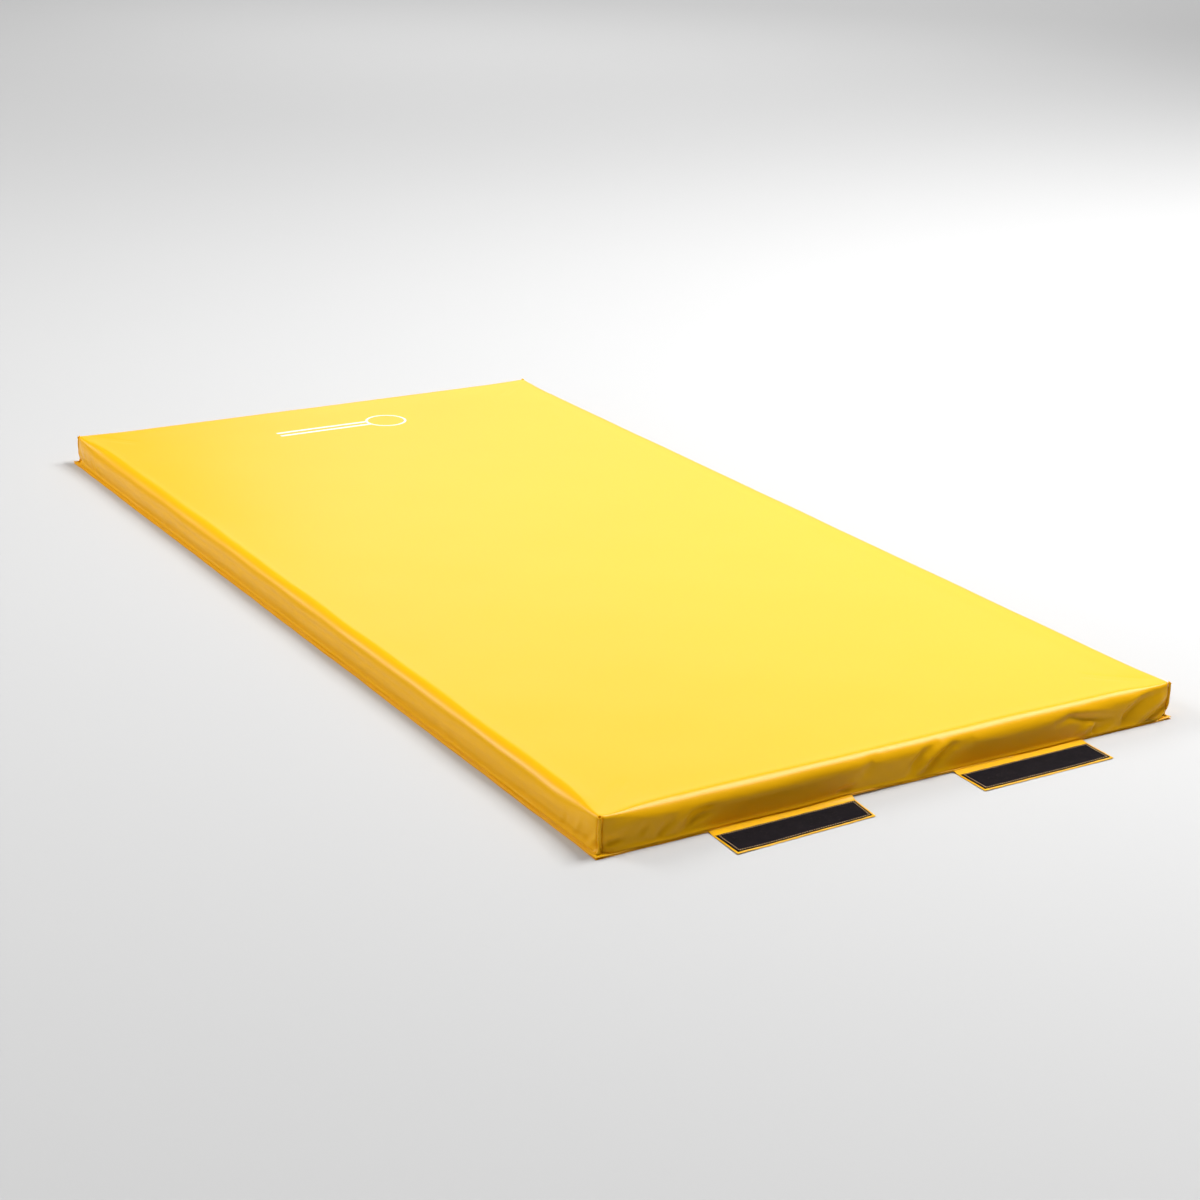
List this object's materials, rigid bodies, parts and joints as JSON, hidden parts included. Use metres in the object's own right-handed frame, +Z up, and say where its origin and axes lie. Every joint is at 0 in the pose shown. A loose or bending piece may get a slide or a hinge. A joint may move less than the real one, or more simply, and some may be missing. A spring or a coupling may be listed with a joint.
{
  "type": "gym mat",
  "caption": "Flat rectangular foam gym mat in a sewn coated-cloth cover, with two hook-tape flaps at one end that join it to the next mat.",
  "frame": {"origin": "centre of the covered slab's underside", "axes": "+Y along the mat towards the rear end, away from the flaps; +Z up, out of the top; +X across the mat"},
  "size_m": [1.02, 2.091, 0.0516],
  "materials": {
    "foam": "matte bonded foam",
    "cover_cloth": "satin PVC-coated cloth",
    "base_cloth": "satin PVC-coated cloth",
    "hook_tape": "matte woven tape with hooks",
    "loop_tape": "matte woven tape with brushed loops",
    "thread": "polyester thread",
    "print": "screen-printed ink"
  },
  "bodies": {
    "mat": {"foam_core": "foam", "top_cover": "cover_cloth", "base_sheet": "base_cloth", "corner_seam_front_left": "cover_cloth", "corner_seam_front_right": "cover_cloth", "corner_seam_rear_left": "cover_cloth", "corner_seam_rear_right": "cover_cloth", "perimeter_seam_thread": "thread", "printed_emblem": "print", "flap_root_left": "cover_cloth", "flap_root_right": "cover_cloth", "loop_tape_left": "loop_tape", "loop_tape_right": "loop_tape", "loop_tape_thread_left": "thread", "loop_tape_thread_right": "thread"},
    "flap_left": {"flap_panel_left": "cover_cloth", "hook_tape_left": "hook_tape", "hook_tape_thread_left": "thread"},
    "flap_right": {"flap_panel_right": "cover_cloth", "hook_tape_right": "hook_tape", "hook_tape_thread_right": "thread"}
  },
  "joints": [
    {"name": "flap_left_fold", "type": "hinge", "parent": "mat", "child": "flap_left", "pos_m": [-0.21, -1.0105, -0.0003], "axis": [-1, 0, 0], "range_deg": [-178, 95]},
    {"name": "flap_right_fold", "type": "hinge", "parent": "mat", "child": "flap_right", "pos_m": [0.21, -1.0105, -0.0003], "axis": [-1, 0, 0], "range_deg": [-178, 95]}
  ]
}
